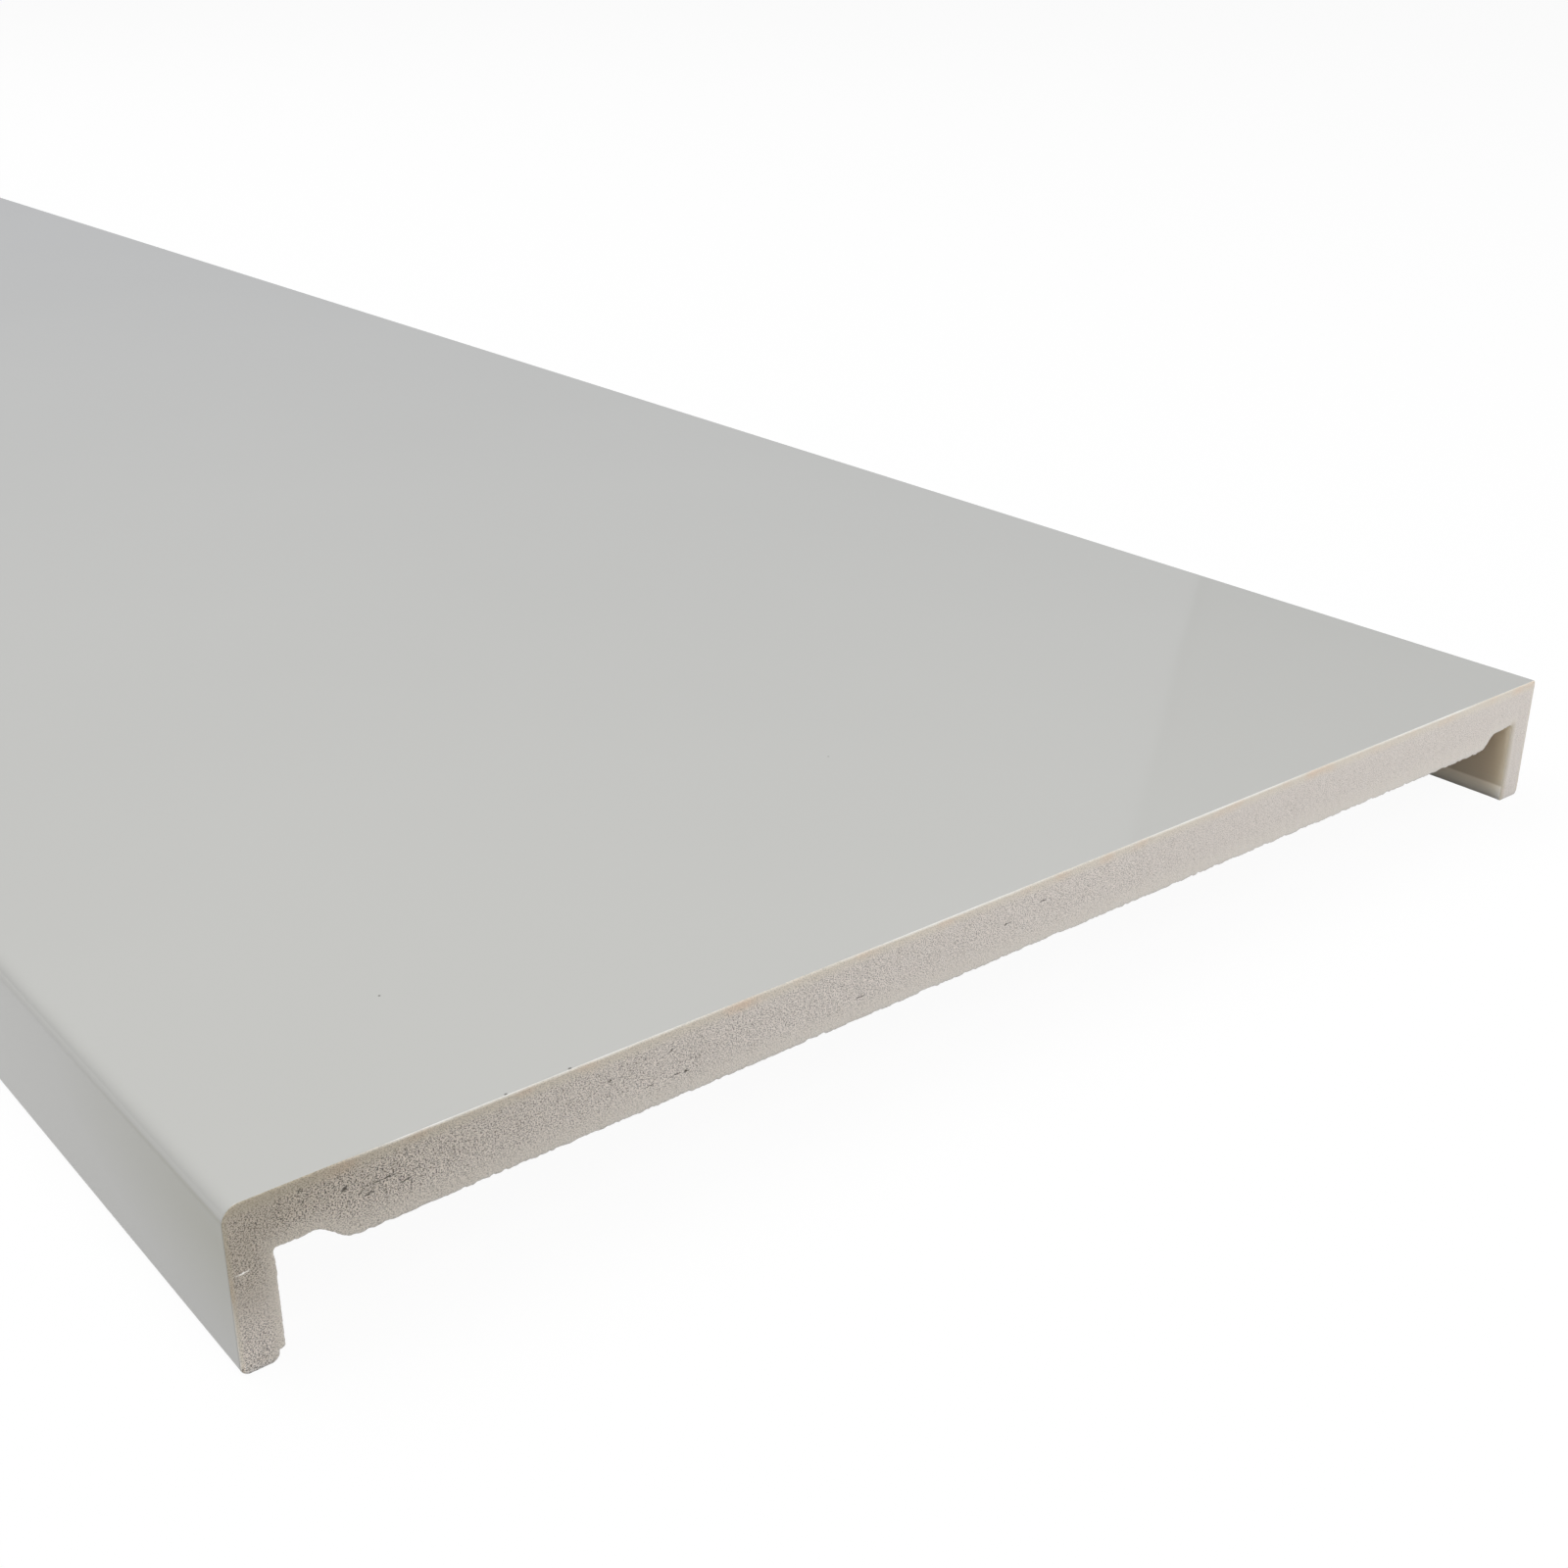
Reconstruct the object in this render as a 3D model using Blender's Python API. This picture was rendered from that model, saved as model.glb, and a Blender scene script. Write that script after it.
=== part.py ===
"""Double-ended fascia board: one co-extruded length of foamed PVC with a leg along each edge.

The board lies face up on its two legs. X runs along its length, Y across its width and Z up,
with the origin on the floor under the middle of the board.
"""

from math import cos, pi, radians, sin

import bpy

# Overall size of the stock length, in metres
LENGTH = 2.5
WIDTH = 0.405
LEG_DEPTH = 0.0360

# The flat board between the legs, from its show face to its back face
BOARD_THICKNESS = 0.0162

# The leg along each edge
LEG_THICKNESS = 0.0086

# The near edge is well rounded, and its leg stands on a narrower foot with a heel behind it
NEAR_EDGE_RADIUS = 0.0035
FOOT_HEIGHT = 0.0023
FOOT_SETBACK = 0.0012
FOOT_OUTER_RADIUS = 0.0018
FOOT_INNER_RADIUS = 0.0017
HEEL_RADIUS = 0.0004

# The far edge is nearly square, and its leg stands on its whole thickness
FAR_EDGE_RADIUS = 0.0010
FAR_FOOT_OUTER_RADIUS = 0.0015
FAR_FOOT_INNER_RADIUS = 0.0003

# The recess in the back face beside each leg, which a soffit board's edge goes into
RECESS_DEPTH = 0.0044
RECESS_FLAT = 0.0080
RECESS_RAMP = 0.0078
ROOT_FILLET = 0.0006

# Straight pieces that each quarter round, and the ramp, are made of
ROUND_STEPS = 6
RAMP_STEPS = 12

SKIN_COLOUR = (0.558, 0.565, 0.539, 1.0)
SKIN_ROUGHNESS = 0.32


def quarter_round(centre, radius, start, end):
    """Points on a circle of the radius about the centre, from the start angle to the end angle."""
    turn = [radians(start + (end - start) * step / ROUND_STEPS) for step in range(ROUND_STEPS + 1)]
    return [(centre[0] + radius * cos(a), centre[1] + radius * sin(a)) for a in turn]


def ramp(start, end):
    """An S-shaped rise: half a cosine wave between two points, level at both of them."""
    points = []
    for step in range(RAMP_STEPS + 1):
        share = step / RAMP_STEPS
        rise = (1 - cos(pi * share)) / 2
        points.append((start[0] + (end[0] - start[0]) * share, start[1] + (end[1] - start[1]) * rise))
    return points


def stepped_foot(inner, outer):
    """The near foot, from the leg's inner face to its outer one: the heel, then the rounded foot."""
    foot_inner = inner + FOOT_SETBACK
    points = quarter_round((inner + HEEL_RADIUS, FOOT_HEIGHT + HEEL_RADIUS), HEEL_RADIUS, 180, 270)
    points.append((foot_inner, FOOT_HEIGHT))
    points += quarter_round((foot_inner + FOOT_INNER_RADIUS, FOOT_INNER_RADIUS),
                            FOOT_INNER_RADIUS, 180, 270)
    points += quarter_round((outer - FOOT_OUTER_RADIUS, FOOT_OUTER_RADIUS), FOOT_OUTER_RADIUS, 270, 360)
    return points


def plain_foot(inner, outer):
    """The far foot, from the leg's inner face to its outer one: two rounded corners on a flat."""
    points = quarter_round((inner + FAR_FOOT_INNER_RADIUS, FAR_FOOT_INNER_RADIUS),
                           FAR_FOOT_INNER_RADIUS, 180, 270)
    points += quarter_round((outer - FAR_FOOT_OUTER_RADIUS, FAR_FOOT_OUTER_RADIUS),
                            FAR_FOOT_OUTER_RADIUS, 270, 360)
    return points


def half_section(foot, edge_radius):
    """The section's outline on one side, from the back face, round the leg, to the show face."""
    outer = WIDTH / 2
    inner = outer - LEG_THICKNESS
    back = LEG_DEPTH - BOARD_THICKNESS
    ceiling = back + RECESS_DEPTH
    ramp_top = inner - RECESS_FLAT

    points = ramp((ramp_top - RECESS_RAMP, back), (ramp_top, ceiling))
    points += quarter_round((inner - ROOT_FILLET, ceiling - ROOT_FILLET), ROOT_FILLET, 90, 0)
    points += foot(inner, outer)
    points += quarter_round((outer - edge_radius, LEG_DEPTH - edge_radius), edge_radius, 0, 90)
    return points


def section():
    """The whole closed outline: the far half, then the near half mirrored and taken backwards."""
    far = half_section(plain_foot, FAR_EDGE_RADIUS)
    near = half_section(stepped_foot, NEAR_EDGE_RADIUS)
    return far + [(-across, up) for across, up in reversed(near)]


def make_material(name, colour, roughness):
    """A plain Principled material."""
    material = bpy.data.materials.new(name)
    material.use_nodes = True
    shader = material.node_tree.nodes["Principled BSDF"]
    shader.inputs["Base Color"].default_value = colour
    shader.inputs["Roughness"].default_value = roughness
    shader.inputs["Metallic"].default_value = 0.0
    return material


def make_board(collection):
    """The extruded board: its section as a flat outline in Y and Z, drawn out along X."""
    curve = bpy.data.curves.new("fascia_board", "CURVE")
    curve.dimensions = "2D"
    curve.fill_mode = "BOTH"
    curve.extrude = LENGTH / 2
    outline = section()
    spline = curve.splines.new("POLY")
    spline.points.add(len(outline) - 1)
    for point, (across, up) in zip(spline.points, outline):
        point.co = (across, up, 0.0, 1.0)
    spline.use_cyclic_u = True
    curve.materials.append(make_material("grey_pvc_skin", SKIN_COLOUR, SKIN_ROUGHNESS))

    board = bpy.data.objects.new("fascia_board", curve)
    board.rotation_euler = (radians(90), 0.0, radians(90))
    collection.objects.link(board)
    return board


for old in list(bpy.data.objects):
    bpy.data.objects.remove(old)

fascia = bpy.data.collections.new("fascia_board")
bpy.context.scene.collection.children.link(fascia)
make_board(fascia)
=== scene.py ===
from math import cos, radians, sin

import bpy
import numpy as np
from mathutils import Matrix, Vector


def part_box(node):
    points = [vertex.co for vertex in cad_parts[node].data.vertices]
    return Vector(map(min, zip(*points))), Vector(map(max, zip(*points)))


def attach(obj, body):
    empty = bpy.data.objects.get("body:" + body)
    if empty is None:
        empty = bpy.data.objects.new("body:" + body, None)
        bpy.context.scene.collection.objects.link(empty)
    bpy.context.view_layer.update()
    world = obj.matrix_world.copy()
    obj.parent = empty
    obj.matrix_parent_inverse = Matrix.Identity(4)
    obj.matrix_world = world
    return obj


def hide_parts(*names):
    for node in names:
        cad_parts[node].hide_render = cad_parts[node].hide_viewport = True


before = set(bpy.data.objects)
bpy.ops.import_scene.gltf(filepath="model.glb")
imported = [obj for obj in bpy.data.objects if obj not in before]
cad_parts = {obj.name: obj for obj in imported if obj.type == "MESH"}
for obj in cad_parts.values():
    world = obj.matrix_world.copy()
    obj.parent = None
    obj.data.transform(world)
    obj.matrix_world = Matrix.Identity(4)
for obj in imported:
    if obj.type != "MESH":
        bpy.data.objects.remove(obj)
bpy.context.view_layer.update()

bpy.context.scene.view_settings.view_transform = "Standard"


# The viewpoint. The camera stands off the sawn end at +X, a little outside the near leg, and looks
# back along the board and down. It sees the show face, the near leg and the whole section.
CAMERA_PLACE = (1.52207, -0.30344, 0.23894)
CAMERA_TURN = (65.875, -0.473, 50.714)
LENS_MM = 45.08
SENSOR_MM = 36.0

camera_data = bpy.data.cameras.new("camera")
camera_data.lens = LENS_MM
camera_data.sensor_width = SENSOR_MM
camera_data.clip_start = 0.01
camera_data.clip_end = 200.0
camera = bpy.data.objects.new("camera", camera_data)
camera.location = CAMERA_PLACE
camera.rotation_euler = [radians(turn) for turn in CAMERA_TURN]
bpy.context.collection.objects.link(camera)
bpy.context.scene.camera = camera


# The studio. A white paper floor that runs into a white background, one big soft light overhead,
# two small ones in front of the sawn end, and tall grey cards that the glossy face reflects.
# The floor lies a hair below the feet, so that the two don't share a plane.
FLOOR_SPAN = 80.0
FLOOR_DROP = 0.0002
FLOOR_COLOUR = "#B4B3B1"
FLOOR_SHADOW_SHARE = 0.05
BACKGROUND_LIGHT = 0.16


def linear(hex_colour):
    """A colour for a shader: each sRGB share s becomes ((s + 0.055) / 1.055) to the power 2.4."""
    shares = [int(hex_colour[k:k + 2], 16) / 255 for k in (1, 3, 5)]
    return (*[s / 12.92 if s <= 0.04045 else ((s + 0.055) / 1.055) ** 2.4 for s in shares], 1.0)


def add_node(tree, kind, inputs=None, **settings):
    """Adds one node, gives it its settings, and fills its inputs with plain values or with links.

    An input that is given a whole node takes that node's first output in use.
    """
    node = tree.nodes.new(kind)
    for name, value in settings.items():
        setattr(node, name, value)
    for name, value in (inputs or {}).items():
        if isinstance(value, bpy.types.Node):
            value = next(output for output in value.outputs if output.enabled)
        if isinstance(value, bpy.types.NodeSocket):
            tree.links.new(value, node.inputs[name])
        else:
            node.inputs[name].default_value = value
    return node


def new_material(name):
    """An empty node material and its tree."""
    material = bpy.data.materials.new(name)
    material.use_nodes = True
    material.node_tree.nodes.clear()
    return material, material.node_tree


def add_mesh(name, places, faces, materials):
    """A mesh object at the origin from arrays of places and faces."""
    mesh = bpy.data.meshes.new(name)
    mesh.from_pydata(np.asarray(places).tolist(), [], np.asarray(faces).tolist())
    for material in materials:
        mesh.materials.append(material)
    piece = bpy.data.objects.new(name, mesh)
    bpy.context.collection.objects.link(piece)
    return piece


def seen_directly(tree):
    """1 for rays that show the background: from the camera, off a gloss and through glass."""
    path = add_node(tree, "ShaderNodeLightPath")
    either = add_node(tree, "ShaderNodeMath", {0: path.outputs["Is Camera Ray"],
                                               1: path.outputs["Is Glossy Ray"]}, operation="MAXIMUM")
    return add_node(tree, "ShaderNodeMath", {0: either, 1: path.outputs["Is Transmission Ray"]},
                    operation="MAXIMUM")


def make_floor_material():
    """White paper: its own white to the camera, with a share of true shading that keeps shadows.

    To the board it is a little greyer, so that the light it throws back up stays soft.
    """
    material, tree = new_material("white_paper")
    seen = seen_directly(tree)
    paper = add_node(tree, "ShaderNodeMix", {0: seen, 6: linear(FLOOR_COLOUR), 7: linear("#FFFFFF")},
                     data_type="RGBA")
    shaded = add_node(tree, "ShaderNodeBsdfDiffuse", {"Color": paper})
    white = add_node(tree, "ShaderNodeEmission", {"Color": linear("#FFFFFF"), "Strength": 1.0})
    share = add_node(tree, "ShaderNodeMath", {0: seen, 1: 1.0 - FLOOR_SHADOW_SHARE},
                     operation="MULTIPLY")
    mixed = add_node(tree, "ShaderNodeMixShader", {0: share, 1: shaded, 2: white})
    add_node(tree, "ShaderNodeOutputMaterial", {"Surface": mixed})
    material.cycles.emission_sampling = "NONE"
    return material


half_floor = FLOOR_SPAN / 2
floor = add_mesh("floor",
                 [(x, y, -FLOOR_DROP) for x, y in ((-half_floor, -half_floor), (half_floor, -half_floor),
                                                   (half_floor, half_floor), (-half_floor, half_floor))],
                 [(0, 1, 2, 3)], [make_floor_material()])

world = bpy.data.worlds.new("white_background")
world.use_nodes = True
world.node_tree.nodes.clear()
level = add_node(world.node_tree, "ShaderNodeMapRange",
                 {"Value": seen_directly(world.node_tree), "To Min": BACKGROUND_LIGHT, "To Max": 1.0})
glow = add_node(world.node_tree, "ShaderNodeBackground",
                {"Color": linear("#FFFFFF"), "Strength": level})
add_node(world.node_tree, "ShaderNodeOutputWorld", {"Surface": glow})
world.cycles.sampling_method = "NONE"
bpy.context.scene.world = world


def add_soft_light(name, *, place, aim, size, watts, mirrored=True):
    """A rectangular soft light at a place, turned to face the point it aims at.

    The cards stand for what a gloss sees of the room, so a light may be left out of its reflections.
    """
    data = bpy.data.lights.new(name, "AREA")
    data.shape = "RECTANGLE"
    data.size, data.size_y = size
    data.energy = watts
    light = bpy.data.objects.new(name, data)
    light.location = place
    direction = Vector(aim) - Vector(place)
    light.rotation_euler = direction.to_track_quat("-Z", "Y").to_euler()
    light.visible_camera = False
    light.visible_glossy = mirrored
    bpy.context.collection.objects.link(light)


add_soft_light("overhead_light", place=(-0.25, -0.65, 2.6), aim=(0.15, 0.0, 0.0), size=(3.0, 3.0),
               watts=78.0, mirrored=False)
add_soft_light("end_light", place=(2.3, 0.60, 0.16), aim=(1.25, 0.1, 0.03), size=(0.7, 0.3), watts=6.5)
add_soft_light("front_light", place=(2.15, -0.25, 1.5), aim=(1.25, 0.0, 0.03), size=(0.9, 0.9), watts=9.5)

CARD_RADIUS = 7.0
CARD_HEIGHT = 12.0
CARD_STEPS = 48
CARD_COLOUR = "#F4F6FF"

# Compass angles at a card's foot and at its top: where two cards meet, the width of the gap between
# them, and their outer edges. Then how strongly each glows
CARD_JOINT = np.array([116.4, 131.5])
CARD_GAP = 0.35
LEFT_CARD_END, RIGHT_CARD_END = (250.0, 250.0), (-110.0, -110.0)
LEFT_CARD_GLOW, GAP_GLOW, RIGHT_CARD_GLOW = 0.51, 0.325, 0.38


def add_card(name, start, end, strength):
    """A card bent round the board, from one leaning edge to another, that only a gloss can see.

    An edge is a compass angle at the foot and one at the top, with a straight line between them.
    """
    material, tree = new_material(name)
    glow = add_node(tree, "ShaderNodeEmission", {"Color": linear(CARD_COLOUR), "Strength": strength})
    add_node(tree, "ShaderNodeOutputMaterial", {"Surface": glow})
    material.cycles.emission_sampling = "NONE"
    turn = np.radians(np.linspace(start, end, CARD_STEPS + 1))
    height = np.broadcast_to([0.0, CARD_HEIGHT], turn.shape)
    places = np.stack([CARD_RADIUS * np.cos(turn), CARD_RADIUS * np.sin(turn), height], axis=2)
    places = places.transpose(1, 0, 2).reshape(-1, 3)
    low = np.arange(CARD_STEPS)
    high = low + CARD_STEPS + 1
    card = add_mesh(name, places, np.stack([low, high, high + 1, low + 1], axis=1), [material])
    card.visible_camera = False
    card.visible_diffuse = False
    card.visible_transmission = False
    card.visible_shadow = False


add_card("reflected_card_left", CARD_JOINT + CARD_GAP, LEFT_CARD_END, LEFT_CARD_GLOW)
add_card("reflected_card_gap", CARD_JOINT, CARD_JOINT + CARD_GAP, GAP_GLOW)
add_card("reflected_card_right", RIGHT_CARD_END, CARD_JOINT, RIGHT_CARD_GLOW)


# The fascia board. One length of foamed PVC, extruded together with its dense grey skin, and sawn
# square at both ends. Its near edge is well rounded and its far edge is nearly square.
HALF_LENGTH, HALF_WIDTH, LEG_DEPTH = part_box("fascia_board")[1]
BOARD_THICKNESS = 0.0162
LEG_THICKNESS = 0.0086
NEAR_EDGE_RADIUS = 0.0035
FOOT_HEIGHT = 0.0023
FOOT_SETBACK = 0.0012
FOOT_OUTER_RADIUS = 0.0018
FOOT_INNER_RADIUS = 0.0017
HEEL_RADIUS = 0.0004
FAR_EDGE_RADIUS = 0.0010
FAR_FOOT_OUTER_RADIUS = 0.0015
FAR_FOOT_INNER_RADIUS = 0.0003
RECESS_DEPTH = 0.0044
RECESS_FLAT = 0.0080
RECESS_RAMP = 0.0078
ROOT_FILLET = 0.0006
FACE_DISH = 0.00025

# Steps of the section's grid along each stretch of one half, and across its thickness, where the
# first and the last are narrow. Before that, each curve is worked out at this many points
FLAT_STEPS, RAMP_STEPS, CORNER_STEPS, LEG_STEPS, FOOT_STEPS = 396, 18, 28, 56, 14
ACROSS_STEPS = 36
EDGE_ROW = 0.025
DISH_POINTS, RAMP_POINTS, ARC_POINTS = 60, 40, 17


def along(points, count):
    """Count + 1 points at equal steps of length along a line of straight pieces."""
    points = np.asarray(points, float)
    lengths = np.linalg.norm(np.diff(points, axis=0), axis=1)
    reach = np.concatenate([[0.0], np.cumsum(lengths)])
    steps = np.linspace(0.0, reach[-1], count + 1)
    return np.stack([np.interp(steps, reach, points[:, k]) for k in (0, 1)], axis=1)


def arc(centre_y, centre_z, radius, start, end):
    """Points on a circle: the centre plus the radius times (cos a, sin a), for a from start to end."""
    turn = np.radians(np.linspace(start, end, ARC_POINTS))
    return np.stack([centre_y + radius * np.cos(turn), centre_z + radius * np.sin(turn)], axis=1)


def stepped_foot(outer_y, inner_y):
    """The near foot's outer line, and its inner line with the heel and the setback behind it."""
    heel = FOOT_HEIGHT + HEEL_RADIUS
    foot_y = inner_y + FOOT_SETBACK
    outer = np.vstack([(outer_y, heel), arc(outer_y - FOOT_OUTER_RADIUS, FOOT_OUTER_RADIUS,
                                            FOOT_OUTER_RADIUS, 0, -90)])
    inner = np.vstack([arc(inner_y + HEEL_RADIUS, heel, HEEL_RADIUS, 180, 270), (foot_y, FOOT_HEIGHT),
                       arc(foot_y + FOOT_INNER_RADIUS, FOOT_INNER_RADIUS, FOOT_INNER_RADIUS, 180, 270)])
    return outer, inner


def plain_foot(outer_y, inner_y):
    """The far foot's outer line and its inner line, each straight down and then round a corner."""
    heel = FOOT_HEIGHT + HEEL_RADIUS
    outer = np.vstack([(outer_y, heel), arc(outer_y - FAR_FOOT_OUTER_RADIUS, FAR_FOOT_OUTER_RADIUS,
                                            FAR_FOOT_OUTER_RADIUS, 0, -90)])
    inner = np.vstack([(inner_y, heel), arc(inner_y + FAR_FOOT_INNER_RADIUS, FAR_FOOT_INNER_RADIUS,
                                            FAR_FOOT_INNER_RADIUS, 180, 270)])
    return outer, inner


def half_lines(edge_radius, foot):
    """One half's outer line on the skin and inner line on the back, cut into matching stretches.

    The dish of the face is half a cosine wave, lowest in the middle, and the recess's ramp another.
    """
    outer_y = HALF_WIDTH
    inner_y = outer_y - LEG_THICKNESS
    top = LEG_DEPTH
    back = top - BOARD_THICKNESS
    ceiling = back + RECESS_DEPTH
    ramp_end = inner_y - RECESS_FLAT
    ramp_start = ramp_end - RECESS_RAMP
    heel = FOOT_HEIGHT + HEEL_RADIUS

    dish_y = np.linspace(0.0, ramp_start, DISH_POINTS)
    dish_z = top - FACE_DISH * (1 + np.cos(np.pi * dish_y / ramp_start)) / 2
    climb = np.linspace(0.0, 1.0, RAMP_POINTS)
    ramp_z = back + RECESS_DEPTH * (1 - np.cos(np.pi * climb)) / 2
    face_round = (outer_y - edge_radius, top - edge_radius, edge_radius)
    root_round = (inner_y - ROOT_FILLET, ceiling - ROOT_FILLET, ROOT_FILLET)
    stretches = [
        (np.stack([dish_y, dish_z], axis=1), [(0.0, back), (ramp_start, back)], FLAT_STEPS),
        ([(ramp_start, top), (ramp_end, top)],
         np.stack([ramp_start + RECESS_RAMP * climb, ramp_z], axis=1), RAMP_STEPS),
        (np.vstack([(ramp_end, top), arc(*face_round, 90, 45)]),
         np.vstack([(ramp_end, ceiling), arc(*root_round, 90, 45)]), CORNER_STEPS),
        (np.vstack([arc(*face_round, 45, 0), (outer_y, heel)]),
         np.vstack([arc(*root_round, 45, 0), (inner_y, heel)]), LEG_STEPS),
        (*foot(outer_y, inner_y), FOOT_STEPS),
    ]
    lines = []
    for side in (0, 1):
        pieces = [along(stretch[side], stretch[2]) for stretch in stretches]
        lines.append(np.vstack([pieces[0], *[piece[1:] for piece in pieces[1:]]]))
    return lines


def section_grid():
    """Places (y, z) all over the section, from the near foot, through the board, to the far foot.

    A place is outer + share x (inner - outer), for shares from 0 at the skin to 1 at the back.
    """
    near = half_lines(NEAR_EDGE_RADIUS, stepped_foot)
    far = half_lines(FAR_EDGE_RADIUS, plain_foot)
    outer, inner = (np.vstack([a[:0:-1] * (-1, 1), b])[:, None, :] for a, b in zip(near, far))
    rows = np.linspace(EDGE_ROW, 1 - EDGE_ROW, ACROSS_STEPS - 1)
    share = np.concatenate([[0.0], rows, [1.0]])[None, :, None]
    return outer + share * (inner - outer)


def smooth_step(t):
    """3t^2 - 2t^3 of t, once t is kept from 0 to 1."""
    t = np.clip(t, 0.0, 1.0)
    return t * t * (3 - 2 * t)


# Cells of the lattice of random levels, and the shift that keeps places off its first ones
LATTICE = 256
LATTICE_SHIFT = 64.0


def value_noise(rng, places, cell):
    """Lumps from 0 to 1: random levels on a lattice, with a smooth step between its corners."""
    levels = rng.random((LATTICE, LATTICE))
    scaled = places / cell + LATTICE_SHIFT
    corner = np.floor(scaled).astype(int)
    ty, tz = np.moveaxis(smooth_step(scaled - corner), -1, 0)
    i, j = np.moveaxis(corner % LATTICE, -1, 0)
    next_i, next_j = (i + 1) % LATTICE, (j + 1) % LATTICE
    low = levels[i, j] * (1 - ty) + levels[next_i, j] * ty
    high = levels[i, next_j] * (1 - ty) + levels[next_i, next_j] * ty
    return low * (1 - tz) + high * tz


# The dense skin: its depth under the face and under a side, how many such depths down it ends, and
# how much grain it shows. Towards the back the grain fades from this share of the thickness
DENSE_UNDER_FACE = 0.0024
DENSE_UNDER_SIDE = 0.0008
DENSE_ENDS = 1.5
DENSE_GRAIN = 0.4
GRAIN_FADES_FROM = 0.6


def dense_share(grid):
    """1 in the dense skin and 0 in the foam: a smooth step over the depth under the face or a side.

    It runs from half the skin's depth to one and a half times it.
    """
    under_face = (LEG_DEPTH - grid[..., 1]) / DENSE_UNDER_FACE
    under_side = (HALF_WIDTH - np.abs(grid[..., 0])) / DENSE_UNDER_SIDE
    return smooth_step(DENSE_ENDS - np.minimum(under_face, under_side))


def foam_share(grid):
    """How much of the foam's grain shows: all of it inside, and less near the skin and the back.

    It is 1 less 0.6 times the dense skin's share or the nearness to the back, whichever is more.
    """
    through = np.linspace(0.0, 1.0, grid.shape[1])
    near_back = smooth_step((through - GRAIN_FADES_FROM) / (1 - GRAIN_FADES_FROM))
    return 1 - (1 - DENSE_GRAIN) * np.maximum(dense_share(grid), near_back)


# Where the foam is torn, with painted shade round the near top corner: all of it round the corner,
# and from there less and less. Where that ends down the leg, how much the way down counts, and how
# much less of both there is at the back
TORN_AND_SHADE_FROM = 0.016
TORN_AND_SHADE_REACH = 0.05
TORN_AND_SHADE_END = (0.018, 0.034)
TORN_AND_SHADE_DOWN_WEIGHT = 1.4
TORN_AND_SHADE_BOARD_FROM, TORN_AND_SHADE_BOARD_RUN = 0.7 * LEG_THICKNESS, 0.012
TORN_AND_SHADE_BEHIND_FROM, TORN_AND_SHADE_LESS_BEHIND = 0.5, 0.35


def torn_and_shade_share(grid):
    """1 round the near top corner, where the saw went in, dying away by e for each 50 mm from it.

    The way down counts 1.4 times over in the leg and 2.4 times in the board. The back half is less
    torn, and the leg's foot is hardly torn. The share darkens the cut as torn foam and as painted
    shade round the near top corner.
    """
    across = grid[..., 0] + HALF_WIDTH
    down = LEG_DEPTH - grid[..., 1]
    weight = TORN_AND_SHADE_DOWN_WEIGHT + smooth_step((across - TORN_AND_SHADE_BOARD_FROM) / TORN_AND_SHADE_BOARD_RUN)
    away = np.maximum(np.hypot(across, weight * down) - TORN_AND_SHADE_FROM, 0)
    past_end = smooth_step((down - TORN_AND_SHADE_END[0]) / (TORN_AND_SHADE_END[1] - TORN_AND_SHADE_END[0]))
    through = np.linspace(0.0, 1.0, grid.shape[1])
    behind = smooth_step((through - TORN_AND_SHADE_BEHIND_FROM) / (1 - TORN_AND_SHADE_BEHIND_FROM))
    return np.exp(-away / TORN_AND_SHADE_REACH) * (1 - past_end) * (1 - TORN_AND_SHADE_LESS_BEHIND * behind)


# How coarse the foam is at these places across, and how much finer it gets in the legs, down them and
# in their feet. Then the lengths over which it does
COARSE_ACROSS = (-0.165, -0.15, 0.02, 0.06)
COARSE_LEVELS = (0.95, 0.71, 0.56, 0.31)
FINER_IN_LEG, FINER_DOWN_LEG, FINER_IN_FOOT = 0.22, 0.28, -0.31
LEG_FROM, LEG_RUN, DOWN_RUN = 0.012, 0.004, 0.004
FOOT_TOP, FOOT_RUN = 0.012, 0.006


def coarse_share(grid):
    """How coarse the sawn foam is: most by the near edge, less along the board, least at the far end.

    Straight lines join the levels. The legs are finer from their tops down, but not their feet.
    """
    across, up = grid[..., 0], grid[..., 1]
    level = np.interp(across, COARSE_ACROSS, COARSE_LEVELS)
    in_leg = smooth_step((np.abs(across) - HALF_WIDTH + LEG_FROM) / LEG_RUN)
    down_leg = np.clip((LEG_DEPTH - BOARD_THICKNESS - up) / DOWN_RUN, 0, 1)
    in_foot = smooth_step((FOOT_TOP - up) / FOOT_RUN)
    finer = FINER_IN_LEG * in_leg + FINER_DOWN_LEG * down_leg + FINER_IN_FOOT * in_foot
    return level * (1 - finer)


# Painted shade in dark amber by the far leg's inner side, and amber in the near leg's foot: its
# share, and its top and fade
INNER_SHADE_REACH = 0.002
INNER_SHADE_SHARE, INNER_SHADE_TOP, INNER_SHADE_TOP_RUN = 0.5, 0.026, 0.003
WARM_FOOT_SHARE, WARM_FOOT_TOP, WARM_FOOT_RUN = 0.08, 0.016, 0.01


def inner_shade_and_amber_share(grid):
    """Painted shade in dark amber, most along the far leg's inner side, falling evenly to none in 2 mm.

    The near leg's foot is a little amber too.
    """
    across, up = grid[..., 0], grid[..., 1]
    beside = np.clip(1 - np.abs(across - (HALF_WIDTH - LEG_THICKNESS)) / INNER_SHADE_REACH, 0, 1)
    beside = INNER_SHADE_SHARE * beside * smooth_step((INNER_SHADE_TOP - up) / INNER_SHADE_TOP_RUN)
    near_foot = (across < 0) * smooth_step((WARM_FOOT_TOP - up) / WARM_FOOT_RUN)
    return np.maximum(beside, WARM_FOOT_SHARE * near_foot)


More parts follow.
